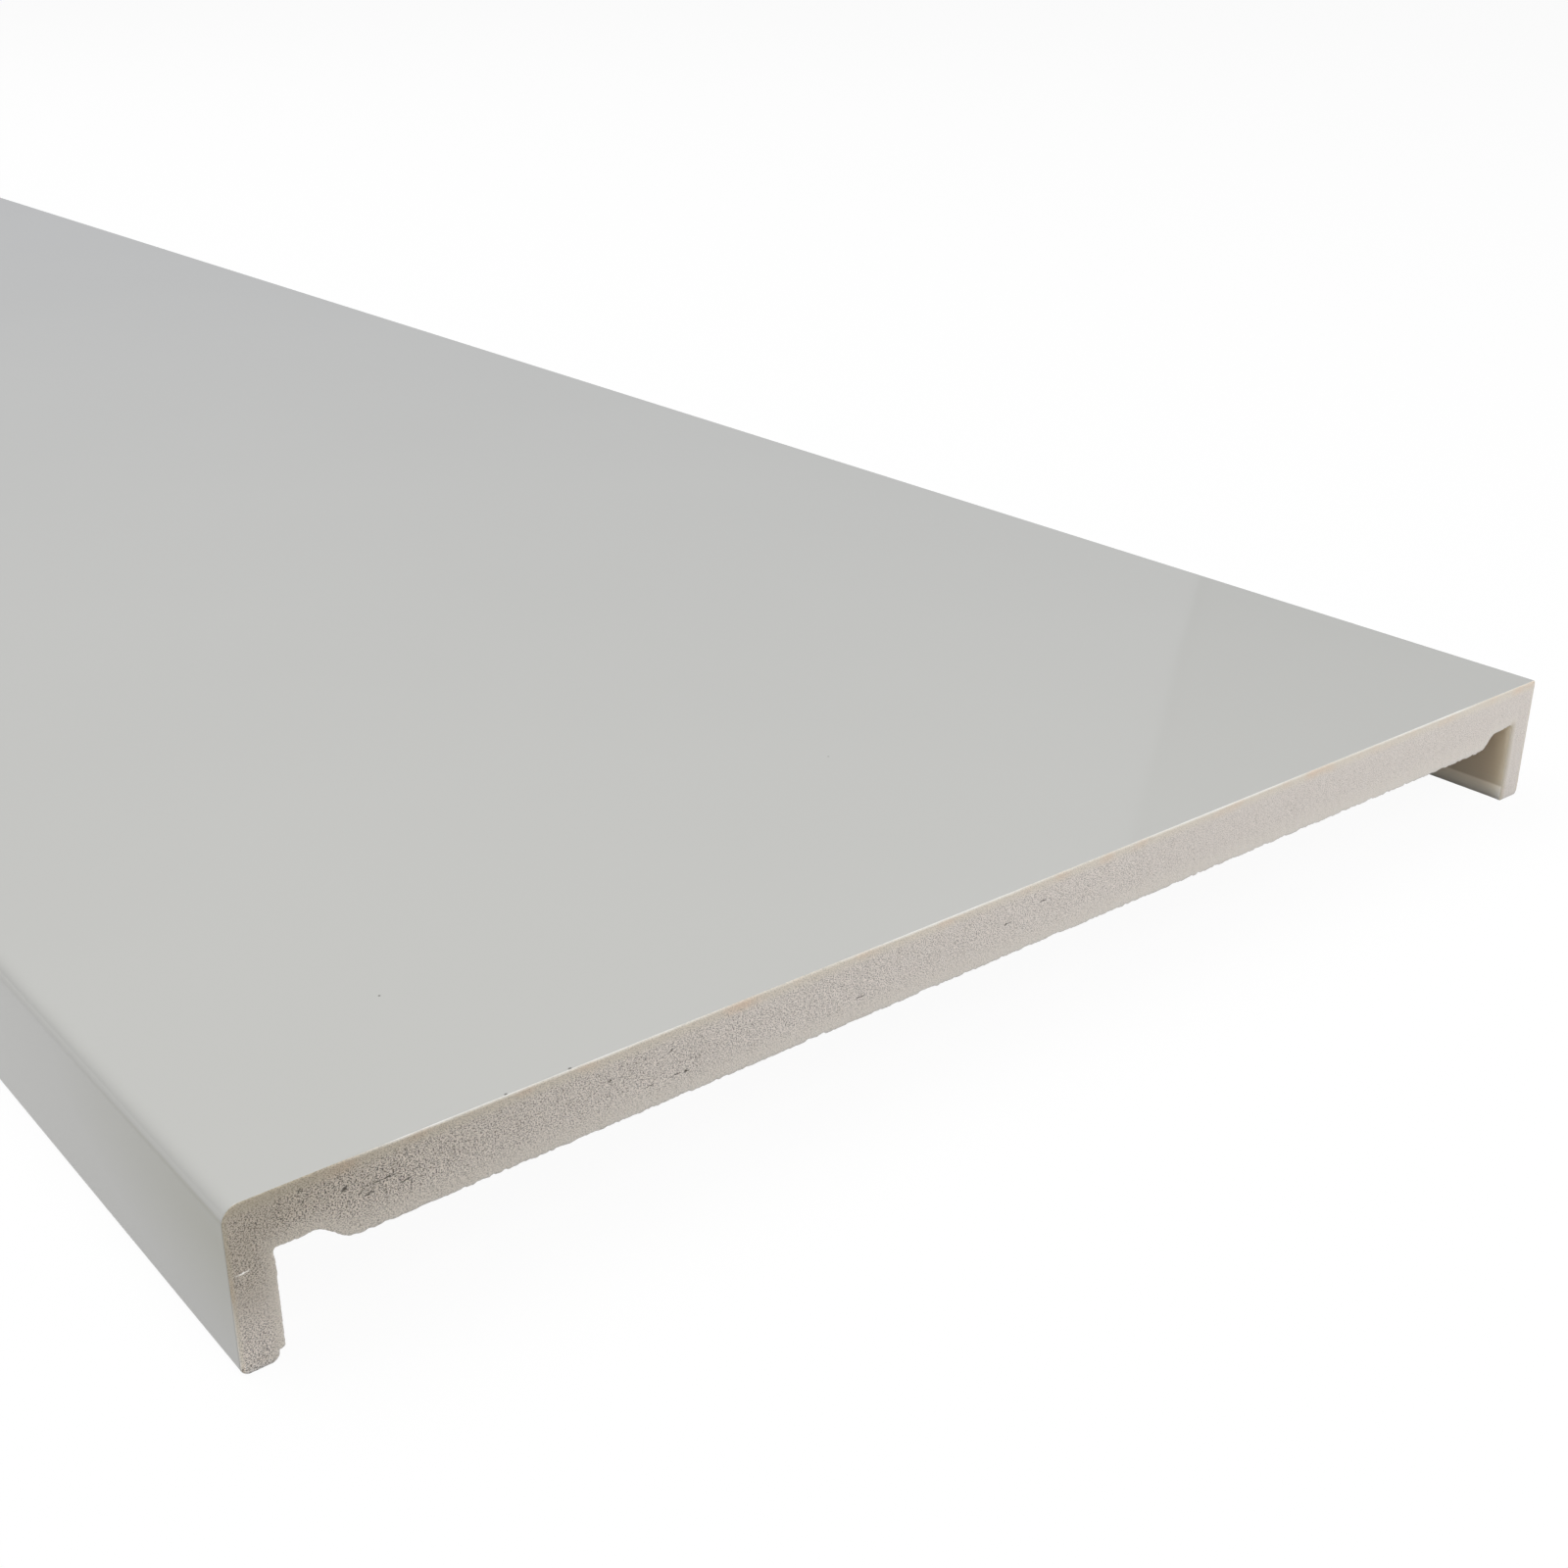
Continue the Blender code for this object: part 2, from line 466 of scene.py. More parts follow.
# Open cells that show one by one: their places across and up, their length and height, in
# millimetres, and how many degrees they lean
OPEN_CELLS = [(-179.6, 29.8, 1.5, 1.0, 40), (-188.0, 33.3, 1.4, 0.5, 45), (-171.5, 28.7, 9.0, 0.3, 2),
              (-174.8, 26.9, 2.2, 0.5, 8), (-167.3, 26.6, 3.4, 0.45, 8), (-176.5, 27.7, 1.5, 0.4, 10),
              (-165.3, 28.2, 2.0, 0.35, 10), (-122.3, 29.6, 0.8, 0.5, 20), (-107.5, 30.8, 1.6, 0.5, 20),
              (-104.0, 24.7, 1.2, 0.8, 20), (-106.6, 24.8, 2.6, 0.35, 3), (-113.0, 24.7, 2.8, 0.3, 5),
              (-57.3, 24.8, 3.4, 0.42, 4), (-13.0, 27.8, 2.2, 0.45, 6), (-1.6, 30.0, 2.8, 0.42, 3),
              (-202.1, 1.3, 0.5, 0.5, 0), (-173.7, 20.4, 0.6, 0.5, 0), (-201.3, 19.4, 0.8, 0.5, 20)]
OPEN_CELL_DEPTH = 0.0005

# A pale scratch on the near leg, in the same measures
PALE_SCRATCH = (-199.9, 21.4, 2.6, 0.5, 8)

# Small pores: how many, the places tried for each, and the grid steps it can reach over. Then its
# radius, its depth in radii, its length in heights, and how far it lies off a grid point
PORE_COUNT = 500
PORE_TRIES = 4
PORE_REACH = 3
PORE_RADIUS = (0.00025, 0.0005)
PORE_DEEP = (0.2, 0.45)
PORE_LONG = (1.0, 2.0)
PORE_SHIFT = 0.0002

# The tooth marks are 3.1 mm apart, and wander by three marks over lumps of 30 mm. Between them the
# torn foam has lumps of 0.8 mm
SAW_STEP = 0.0031
SAW_DEPTH = 0.00004
SAW_WANDER, SAW_WANDER_LENGTH = 3, 0.03
TORN_DEPTH = 0.00004
TORN_LUMP = 0.0008


def ellipse_share(grid, place):
    """1 at a tilted ellipse's middle, less the square of the distance in radii, and 0 outside it.

    Its measures are in millimetres.
    """
    across, up, long, high, lean = place
    y, z = grid[..., 0] - across / 1000, grid[..., 1] - up / 1000
    turn = radians(lean)
    main = (y * cos(turn) + z * sin(turn)) / (long / 2000)
    short = (z * cos(turn) - y * sin(turn)) / (high / 2000)
    return np.clip(1 - main ** 2 - short ** 2, 0, 1)


def press_pores(depth, grid, share, rng):
    """Presses small round pores into a depth field, more of them where the foam is coarse.

    Each is its depth times (1 - distance^2 / radius^2), and up to twice as long as it is high.
    """
    columns, rows = share.shape
    tries = PORE_COUNT * PORE_TRIES
    i = rng.integers(PORE_REACH, columns - PORE_REACH, tries)
    j = rng.integers(PORE_REACH, rows - PORE_REACH, tries)
    kept = np.flatnonzero(rng.random(tries) < share[i, j])[:PORE_COUNT]
    i, j = i[kept], j[kept]
    radius = rng.uniform(*PORE_RADIUS, len(kept))
    deepest = radius * rng.uniform(*PORE_DEEP, len(kept))
    long = rng.uniform(*PORE_LONG, len(kept))
    centre = grid[i, j] + rng.uniform(-PORE_SHIFT, PORE_SHIFT, (len(kept), 2))
    for di in range(-PORE_REACH, PORE_REACH + 1):
        for dj in range(-PORE_REACH, PORE_REACH + 1):
            row = np.clip(j + dj, 1, rows - 2)
            away = grid[i + di, row] - centre
            square = (away[:, 0] / (radius * long)) ** 2 + (away[:, 1] / radius) ** 2
            np.maximum.at(depth, (i + di, row), deepest * np.clip(1 - square, 0, 1))


def sawn_depth(grid, foam, coarse, seed):
    """How far each place of a sawn end lies in from the cut: tooth marks, torn foam and open cells.

    The tooth marks are half a sine wave across the board, with lumps for the wander of the saw. An
    open cell is half as deep as it is high.
    """
    rng = np.random.default_rng(seed)
    wander = value_noise(rng, grid, SAW_WANDER_LENGTH)
    marks = (1 + np.sin(2 * np.pi * (grid[..., 0] / SAW_STEP + SAW_WANDER * wander))) / 2
    depth = SAW_DEPTH * marks * wander + TORN_DEPTH * foam * coarse * value_noise(rng, grid, TORN_LUMP)
    press_pores(depth, grid, foam * coarse, rng)
    for place in OPEN_CELLS:
        depth = np.maximum(depth, OPEN_CELL_DEPTH * place[3] * ellipse_share(grid, place))
    return depth


# The broken edge round a cut: how far back from it the edge lies, where the skin begins, and where
# the fraying ends. The edge row lies a quarter of a step in
ARRIS = 0.0001
CHAMFER_RUN = 0.00022
PLAIN_FROM = 0.003
RIM_INSET = 0.25

# The frayed back edge: the burr, the chips and the rows they fade over, and each tooth's mark. The
# marks' depths vary by these shares. Chips start this far above the foot, and the legs have less
BURR = 0.00055
CHIP_DEPTH = 0.0006
CHIP_LENGTHS = (0.0009, 0.002)
CHIP_ROWS = 5
TOOTH_MARK = 0.0013
TOOTH_WANDER = 0.004
TOOTH_DEPTH = 0.00026
TOOTH_SHARES = (0.2, 1.0)
CHIPS_FROM, CHIPS_RUN = 0.015, 0.002
TOOTH_ON_LEG, BURR_ON_LEG = 0.75, 0.45
CHIP_SEED = 100


def chip_back(grid, seed):
    """Frays the back edge of a sawn end: a burr that stands out of it, and chips that bite into it.

    Each tooth of the saw leaves a slope and a step, of a random depth. Between them are chips, as
    short lumps times long ones. The legs have the tooth marks alone, a little shallower. All of it
    fades out over the first few rows.
    """
    rng = np.random.default_rng(seed + CHIP_SEED)
    edge = grid[:, -1]
    on_board = smooth_step((edge[:, 1] - FOOT_HEIGHT - CHIPS_FROM) / CHIPS_RUN)
    short, long = (value_noise(rng, edge, length) for length in CHIP_LENGTHS)
    reach = np.concatenate([[0.0], np.cumsum(np.linalg.norm(np.diff(edge, axis=0), axis=1))])
    tooth = reach / TOOTH_MARK + value_noise(rng, edge, TOOTH_WANDER)
    depths = rng.uniform(*TOOTH_SHARES, int(tooth[-1]) + 1)[tooth.astype(int)]
    bite = TOOTH_DEPTH * (TOOTH_ON_LEG + (1 - TOOTH_ON_LEG) * on_board) * depths * (tooth % 1)
    burr = BURR * (BURR_ON_LEG + (1 - BURR_ON_LEG) * on_board)
    shift = bite + CHIP_DEPTH * on_board * short * long - burr
    inward = grid[:, 0] - edge
    inward /= np.linalg.norm(inward, axis=1)[:, None]
    chipped = grid.copy()
    for row in range(CHIP_ROWS):
        chipped[:, -1 - row] += inward * (shift * (1 - row / CHIP_ROWS))[:, None]
    return chipped


def end_face(grid, chipped, depth, side):
    """Places of one sawn end: the grid at the end's x, less the depth, with a broken edge round it.

    The edge row lies part of the way to the next one and a little in from the cut.
    """
    flat = chipped.copy()
    flat[:, 0] += RIM_INSET * (grid[:, 1] - grid[:, 0])
    flat[0], flat[-1] = (chipped[0] + chipped[1]) / 2, (chipped[-1] + chipped[-2]) / 2
    depth = depth.copy()
    depth[:, 0] = depth[:, -1] = depth[0] = depth[-1] = ARRIS
    x = side * (HALF_LENGTH - depth)
    return np.concatenate([x[..., None], flat], axis=2)


# Painted highlight on the sawn skin's edge: where it grows and fades across the face, its wave, the
# near end's level, and its speckle. Then the near leg's pale foot and flakes, and the shares of the
# first rows
RIM_GROWS = (-0.185, -0.165)
RIM_FADES = (0.163, 0.18)
RIM_LEVEL, RIM_SWING, RIM_BEAT, RIM_CREST = 0.54, 0.32, 0.093, -0.125
RIM_NEAR_END, RIM_NEAR_RUN, RIM_NEAR_SHARE = -0.125, 0.02, 0.9
RIM_SPECKLE, RIM_SPECKLE_LOW, RIM_SPECKLE_SWING = 0.004, 0.8, 0.4
PALE_FOOT, PALE_FOOT_TOP, PALE_FOOT_RUN = 0.38, 0.019, 0.006
FLAKES, FLAKES_FROM, FLAKES_RUN = 0.44, 0.6, 0.3
FLAKES_TOP, FLAKES_TOP_RUN = 0.026, 0.003
RIM_ROWS = (1.0, 0.45)
SKIN_LINE_ROWS = (1.0, 0.5)
RIM_SEED = 200


def rim_highlight_share(grid, seed):
    """How much painted highlight lies on the skin's sawn edge, in the first rows of a sawn end.

    Along the face it is a level plus a cosine that repeats each 93 mm, more towards the near end,
    and nothing at the corners. The near leg has a pale foot and a few flakes, the far leg nothing.
    """
    rng = np.random.default_rng(seed + RIM_SEED)
    across, up = grid[:, 0].T
    speckle = value_noise(rng, grid[:, 0], RIM_SPECKLE)
    grown = smooth_step((across - RIM_GROWS[0]) / (RIM_GROWS[1] - RIM_GROWS[0]))
    grown *= smooth_step((RIM_FADES[1] - across) / (RIM_FADES[1] - RIM_FADES[0]))
    wave = RIM_LEVEL + RIM_SWING * np.cos(2 * np.pi * (across - RIM_CREST) / RIM_BEAT)
    wave = np.maximum(wave, RIM_NEAR_SHARE * smooth_step((RIM_NEAR_END - across) / RIM_NEAR_RUN))
    pale_foot = PALE_FOOT * smooth_step((PALE_FOOT_TOP - up) / PALE_FOOT_RUN)
    flakes = FLAKES * smooth_step((speckle - FLAKES_FROM) / FLAKES_RUN)
    flakes *= smooth_step((FLAKES_TOP - up) / FLAKES_TOP_RUN)
    on_leg = np.where(across < 0, np.maximum(pale_foot, flakes), 0.0)
    on_face = grown * wave * (RIM_SPECKLE_LOW + RIM_SPECKLE_SWING * speckle)
    share = np.zeros(grid.shape[:2])
    edge = np.where(up < LEG_DEPTH - FAR_EDGE_RADIUS, on_leg, on_face)
    share[:, :len(RIM_ROWS)] = edge[:, None] * RIM_ROWS
    return share


def skin_line_share(grid):
    """The grey skin's own cut edge, which shows as a thin line down the far leg: 1 and then 0.5."""
    down_far_leg = (grid[:, 0, 0] > 0) & (grid[:, 0, 1] < LEG_DEPTH - FAR_EDGE_RADIUS)
    share = np.zeros(grid.shape[:2])
    share[:, :len(SKIN_LINE_ROWS)] = down_far_leg[:, None] * SKIN_LINE_ROWS
    return share


# The board's own map, in pixels: its side, the gaps between its parts, the strips that a sawn end is
# laid out in and their height, and where the narrow bands beside an end begin and stop
MAP_PIXELS = 1024
MAP_GAP = 6
STRIP_COUNT = 2
STRIP_PIXELS = 70
END_PIXELS = (0, 4, 9)


def strip_places(columns, rows, first_strip):
    """The map of a sawn end: its columns laid out straight, in strips one above the other.

    Each face's four corners get u from the share of its column along the strip, and v from its row.
    """
    i, j = np.meshgrid(np.arange(columns - 1), np.arange(rows - 1), indexing="ij")
    length = (columns - 1) // STRIP_COUNT
    strip = i // length
    corners = []
    for di, dj in ((0, 0), (0, 1), (1, 1), (1, 0)):
        u = MAP_GAP + (MAP_PIXELS - 2 * MAP_GAP) * (i - strip * length + di) / length
        low = MAP_GAP + (strip + first_strip) * (STRIP_PIXELS + MAP_GAP)
        corners.append(np.stack([u, low + STRIP_PIXELS * (j + dj) / (rows - 1)], axis=-1))
    return np.stack(corners, axis=2).reshape(-1, 4, 2) / MAP_PIXELS


def band_places(outline):
    """The map of the five bands between the ends: v runs round the outline by its length.

    The narrow bands beside each end have a few pixels each, and the long one has all the rest.
    """
    closed = np.vstack([outline, outline[:1]])
    reach = np.concatenate([[0.0], np.cumsum(np.linalg.norm(np.diff(closed, axis=0), axis=1))])
    low = MAP_GAP + 2 * STRIP_COUNT * (STRIP_PIXELS + MAP_GAP)
    v = low + (MAP_PIXELS - MAP_GAP - low) * reach / reach[-1]
    near_ends = MAP_GAP + np.array(END_PIXELS)
    u = np.concatenate([near_ends, (MAP_PIXELS - near_ends)[::-1]])
    bands = []
    for a, b in zip(u, u[1:]):
        corners = [(a, v[:-1]), (a, v[1:]), (b, v[1:]), (b, v[:-1])]
        corners = [np.stack(np.broadcast_arrays(x, y), axis=-1) for x, y in corners]
        bands.append(np.stack(corners, axis=1))
    return np.concatenate(bands) / MAP_PIXELS


# One for each end, so that the two cuts are alike but not the same
SEEDS = (11, 23)


def board_mesh():
    """The closed board: two sawn ends, and the section's outline carried between them in five bands.

    The shares that the sawn foam's material reads lie on its points.
    """
    grid = section_grid()
    foam, dense = foam_share(grid), dense_share(grid)
    # The torn share also carries painted shade round the near top corner
    torn, coarse = torn_and_shade_share(grid), coarse_share(grid)
    # The warm share is mostly painted shade along the far leg's inner side
    skin_line, warm = skin_line_share(grid), inner_shade_and_amber_share(grid)
    columns, rows = foam.shape
    index = np.arange(columns * rows).reshape(columns, rows)
    ring = np.concatenate([index[:, 0], index[-1, 1:-1], index[::-1, -1], index[0, -2:0:-1]])
    outline = grid.reshape(-1, 2)[ring]
    position = np.arange(len(ring))
    on_skin = position < columns

    # Each end has its grid of places and two hoops behind it. The other end's two are turned round
    ends, hoops, depths, rim_highlights = [], [], [], []
    for seed, side in zip(SEEDS, (1, -1)):
        chipped = chip_back(grid, seed)
        depth = sawn_depth(grid, foam, coarse, seed)
        ends.append(end_face(grid, chipped, depth, side).reshape(-1, 3))
        depths.append(depth.ravel())
        broken = chipped.reshape(-1, 2)[ring]
        hoops += [np.column_stack([np.full(len(ring), side * (HALF_LENGTH - CHAMFER_RUN)), broken]),
                  np.column_stack([np.full(len(ring), side * (HALF_LENGTH - PLAIN_FROM)), outline])]
        rim_highlights.append(rim_highlight_share(grid, seed).ravel())
    hoops[2:] = hoops[:1:-1]
    places = np.concatenate([ends[0], *hoops, ends[1]])

    # Faces, from the end at +X to the other one, and their places on the map
    quads = np.stack([index[:-1, :-1], index[:-1, 1:], index[1:, 1:], index[1:, :-1]], axis=-1)
    quads = quads.reshape(-1, 4)
    last = columns * rows + len(hoops) * len(ring)
    starts = columns * rows + len(ring) * np.arange(len(hoops))
    loops = [ring, *[start + position for start in starts], last + ring]
    bands = [np.stack([a, np.roll(a, -1), np.roll(b, -1), b], axis=1) for a, b in zip(loops, loops[1:])]
    faces = np.concatenate([quads, *bands, quads[:, ::-1] + last])
    on_map = np.concatenate([strip_places(columns, rows, 0), band_places(outline),
                             strip_places(columns, rows, STRIP_COUNT)[:, ::-1]])

    # Finishes: 0 is the skin, 1 the back and 2 the sawn foam, which the broken edge of the back has too
    on_back = (position > columns + rows - 3) & (position < 2 * columns + rows - 3)
    side_slot = np.where(on_back, 1, 0)
    broken_slot = np.where(on_skin, 0, 2)
    cut_slot = np.full(len(quads), 2)
    slots = np.concatenate([cut_slot, broken_slot, *[side_slot] * 3, broken_slot, cut_slot])

    hoop = np.zeros(len(ring))
    hoop_rim_highlights = [np.where(on_skin, rim_highlight[ring], 0.0) for rim_highlight in rim_highlights]
    values = {"rim_highlight": [rim_highlights[0], hoop_rim_highlights[0], hoop, hoop, hoop_rim_highlights[1], rim_highlights[1]],
              "hollow": [depths[0] * 1000, *[hoop] * 4, depths[1] * 1000]}
    for name, share in (("dense", dense), ("torn", torn), ("coarse", coarse)):
        values[name] = [share.ravel(), *[share.ravel()[ring]] * 4, share.ravel()]
    for name, share in (("foam", foam), ("warm", warm), ("skin_line", skin_line)):
        values[name] = [share.ravel(), *[hoop] * 4, share.ravel()]
    values = {name: np.concatenate(parts) for name, parts in values.items()}

    # The rings round each cut, by number, so that the edges along them can be made sharp
    loop_of = np.zeros(len(places), int)
    for number, loop in enumerate((loops[0], loops[1], loops[4], loops[5])):
        loop_of[loop] = number + 1
    return places, faces, slots, values, on_map, loop_of


SKIN_COLOUR = "#C8C8C4"
SKIN_SHADE = "#C5C5C1"
SKIN_IOR = 1.5
SKIN_ROUGHNESS = 0.055
CLOUD_LENGTH = 0.12

# Low waves 70 mm long and 0.12 mm high, and the die's lines, 1.6 mm apart and 50 times as long
WAVE_LENGTH = 0.07
WAVE_HEIGHT = 0.00012
DIE_LINE_STEP = 0.0016
DIE_LINE_HEIGHT = 0.000001
DIE_LINE_DRAWN_OUT = 50

# Dark specks on the show face and at its sawn edge: where they are, and how far across. Each fades
# out from 0.3 to 0.6 of its width
SPECKS = [((1.1655, 0.0054, 0.036), 0.0007), ((1.2029, -0.1464, 0.036), 0.0006),
          ((1.2499, -0.1313, 0.036), 0.0009), ((1.2499, -0.1456, 0.036), 0.0008)]
SPECK_COLOUR = "#6F6C66"
SPECK_SHARE = 0.9
SPECK_EDGE = (0.3, 0.6)

# Painted shade: a warm darker patch on the near leg's skin, at its top beside the cut
SIDE_SHADE_PLACE = (HALF_LENGTH, -HALF_WIDTH, 0.0275)
SIDE_SHADE_REACH = (0.08, 0.00022, 0.0235)
SIDE_SHADE_SHARE = 0.39
SIDE_SHADE_COLOUR = "#8B8852"


def die_surface(tree, place):
    """The normal that the cooled die leaves: long low waves, and fine lines along the board."""
    waves = add_node(tree, "ShaderNodeTexNoise",
                     {"Vector": place, "Scale": 1 / WAVE_LENGTH, "Detail": 1.0, "Roughness": 0.3})
    stretched = add_node(tree, "ShaderNodeMapping",
                         {"Vector": place, "Scale": (1 / DIE_LINE_DRAWN_OUT, 1.0, 1.0)})
    lines = add_node(tree, "ShaderNodeTexNoise",
                     {"Vector": stretched, "Scale": 1 / DIE_LINE_STEP, "Detail": 1.0})
    wavy = add_node(tree, "ShaderNodeBump", {"Height": waves, "Distance": WAVE_HEIGHT, "Strength": 1.0})
    return add_node(tree, "ShaderNodeBump", {"Height": lines, "Distance": DIE_LINE_HEIGHT,
                                             "Strength": 1.0, "Normal": wavy})


def make_skin_material():
    """Solid-coloured PVC, calendered by the cooled die: smooth and glossy, with long low waves.

    The two colours differ by a hair, in cloudy patches. A few dark specks lie in the face, and the
    near leg's skin has painted shade beside the cut.
    """
    material, tree = new_material("grey_pvc_skin")
    place = add_node(tree, "ShaderNodeTexCoord").outputs["Object"]
    clouds = add_node(tree, "ShaderNodeTexNoise",
                      {"Vector": place, "Scale": 1 / CLOUD_LENGTH, "Detail": 3.0})
    tone = add_node(tree, "ShaderNodeMix", {0: clouds, 6: linear(SKIN_COLOUR), 7: linear(SKIN_SHADE)},
                    data_type="RGBA")
    for middle, width in SPECKS:
        away = add_node(tree, "ShaderNodeVectorMath", {0: place, 1: middle}, operation="DISTANCE")
        near = add_node(tree, "ShaderNodeMapRange",
                        {"Value": away, "From Min": SPECK_EDGE[0] * width,
                         "From Max": SPECK_EDGE[1] * width, "To Min": SPECK_SHARE, "To Max": 0.0})
        tone = add_node(tree, "ShaderNodeMix", {0: near, 6: tone, 7: linear(SPECK_COLOUR)},
                        data_type="RGBA")
    # Painted shade on the near leg's side, at its top beside the cut, mixed towards a dark olive
    from_side_shade = add_node(tree, "ShaderNodeMapping", {"Vector": place, "Location": SIDE_SHADE_PLACE,
                                                     "Scale": SIDE_SHADE_REACH}, vector_type="TEXTURE")
    away = add_node(tree, "ShaderNodeVectorMath", {0: from_side_shade}, operation="LENGTH")
    side_shade = add_node(tree, "ShaderNodeMapRange", {"Value": away, "To Min": SIDE_SHADE_SHARE, "To Max": 0.0})
    tone = add_node(tree, "ShaderNodeMix", {0: side_shade, 6: tone, 7: linear(SIDE_SHADE_COLOUR)},
                    data_type="RGBA")
    shader = add_node(tree, "ShaderNodeBsdfPrincipled",
                      {"Base Color": tone, "Roughness": SKIN_ROUGHNESS, "IOR": SKIN_IOR,
                       "Normal": die_surface(tree, place)})
    add_node(tree, "ShaderNodeOutputMaterial", {"Surface": shader})
    return material


BACK_COLOUR = "#C4B7A2"
BACK_SHADE = "#BCAF99"
WRAP_COLOUR = "#EEE0CE"
BACK_ROUGHNESS = 0.35
BACK_CLOUD_LENGTH = 0.03
WRAP_EDGE = (0.0047, 0.0041)

# Light gets a little way into the foam and its skin: how far, and a little less far for green and blue
GLOW_DEPTH = 0.020
GLOW_REACH = (1.0, 0.98, 0.95)


def make_back_material():
    """The undecorated back: the same PVC, cream and duller, and translucent near the cut.

    The skin's last few millimetres, turned in under the feet, show as a paler band up the legs.
    """
    material, tree = new_material("cream_pvc_back")
    place = add_node(tree, "ShaderNodeTexCoord").outputs["Object"]
    clouds = add_node(tree, "ShaderNodeTexNoise",
                      {"Vector": place, "Scale": 1 / BACK_CLOUD_LENGTH, "Detail": 3.0})
    bare = add_node(tree, "ShaderNodeMix", {0: clouds, 6: linear(BACK_COLOUR), 7: linear(BACK_SHADE)},
                    data_type="RGBA")
    up = add_node(tree, "ShaderNodeSeparateXYZ", {"Vector": place}).outputs["Z"]
    in_band = add_node(tree, "ShaderNodeMapRange",
                       {"Value": up, "From Min": WRAP_EDGE[0], "From Max": WRAP_EDGE[1]})
    tone = add_node(tree, "ShaderNodeMix", {0: in_band, 6: bare, 7: linear(WRAP_COLOUR)},
                    data_type="RGBA")
    shader = add_node(tree, "ShaderNodeBsdfPrincipled",
                      {"Base Color": tone, "Roughness": BACK_ROUGHNESS, "IOR": SKIN_IOR,
                       "Subsurface Weight": 1.0, "Subsurface Radius": GLOW_REACH,
                       "Subsurface Scale": GLOW_DEPTH, "Normal": die_surface(tree, place)})
    add_node(tree, "ShaderNodeOutputMaterial", {"Surface": shader})
    return material


CORE_DENSE = "#D5CEC3"
CORE_FOAM = "#D3CCC6"
CORE_FINE = "#DAD4CB"
# Torn foam's tint, which is also painted shade round the near top corner
TORN_AND_SHADE_TINT = "#D2CEC4"
CORE_BLUSH = "#D9BCA4"
# Dark amber: painted shade by the far leg's inner side, and the near leg's foot's own amber
SHADE_AND_AMBER_COLOUR = "#8B7846"
# Near white: a painted highlight on the skin's sawn edge
RIM_HIGHLIGHT_COLOUR = "#F3F2EF"
PORE_DARK = "#6E6455"
# Dark grey: painted shade in hollows and open cells
HOLLOW_SHADE_COLOUR = "#59534B"
SCRATCH_COLOUR = "#FBF9F4"
CORE_ROUGHNESS = 0.75
CORE_GLOW_DEPTH = 0.0022

# A pattern grows from nothing at the first of its two noise levels to its full share at the second

# Rosy blotches in the dense zone, about 12 mm across
BLUSH_LENGTH = 0.012
BLUSH_NOISE = (0.5, 0.72)
BLUSH_SHARE = 0.5

# Real cells are about 0.1 mm across. They are drawn 0.2 mm high and 0.33 mm long, so that they show.
# A dark cell takes this share off the base colour, and a pale wall adds the other
GRAIN = 0.0002
GRAIN_LONG = 0.6
GRAIN_NOISE = (0.34, 0.55)
GRAIN_SWING = (-0.93, 0.43)
GRAIN_DEPTH = 0.00006

# Streaks of burst cells, 0.4 mm high and four times as long, in crowds about 6 mm across
STREAK_HEIGHT = 0.0004
STREAK_LENGTH = 4.0
STREAK_NOISE = (0.58, 0.7)
STREAK_SHARE = 0.35
CROWD_LENGTH = 0.006
CROWD_NOISE = (0.42, 0.62)
CROWD_LEAST = 0.15

# Pores half a millimetre apart. Of every ten, three are shut, and the rest are up to a third of that
# step in radius
PORE_STEP = 0.0005
PORES_SHUT = 0.3
PORE_WIDEST = 0.34
PORE_EDGE = 0.12
PORE_SHARE = 0.85

# The ragged edge of an open cell or scratch, how deep its colour goes, and the depths in millimetres
# between which a hollow gets painted shade, and how much
MARK_LUMP = 0.0006
MARK_WOBBLE = (0.0, 0.0021, 0.0007)
MARK_DEPTH = 0.01
MARK_EDGE = (0.4, 1.1)
SHADED_HOLLOW_DEPTH = (0.12, 0.4)
HOLLOW_SHADE_SHARE = 0.5


def ragged_marks(tree, place, ellipses):
    """1 in the middle of each tilted ellipse on the end at +X, falling to 0 at its ragged edge."""
    noise = add_node(tree, "ShaderNodeTexNoise", {"Vector": place, "Scale": 1 / MARK_LUMP, "Detail": 1.0})
    centred = add_node(tree, "ShaderNodeVectorMath", {0: noise.outputs["Color"], 1: (0.5, 0.5, 0.5)},
                       operation="SUBTRACT")
    ragged = add_node(tree, "ShaderNodeVectorMath", {0: centred, 1: MARK_WOBBLE, 2: place},
                      operation="MULTIPLY_ADD")
    most = 0.0
    for across, up, long, high, lean in ellipses:
        cell = add_node(tree, "ShaderNodeMapping",
                        {"Vector": ragged, "Location": (HALF_LENGTH, across / 1000, up / 1000),
                         "Rotation": (radians(lean), 0.0, 0.0),
                         "Scale": (MARK_DEPTH, long / 2000, high / 2000)}, vector_type="TEXTURE")
        away = add_node(tree, "ShaderNodeVectorMath", {0: cell}, operation="LENGTH")
        share = add_node(tree, "ShaderNodeMapRange",
                         {"Value": away, "From Min": MARK_EDGE[0], "From Max": MARK_EDGE[1],
                          "To Min": 1.0, "To Max": 0.0})
        most = add_node(tree, "ShaderNodeMath", {0: share, 1: most}, operation="MAXIMUM")
    return most


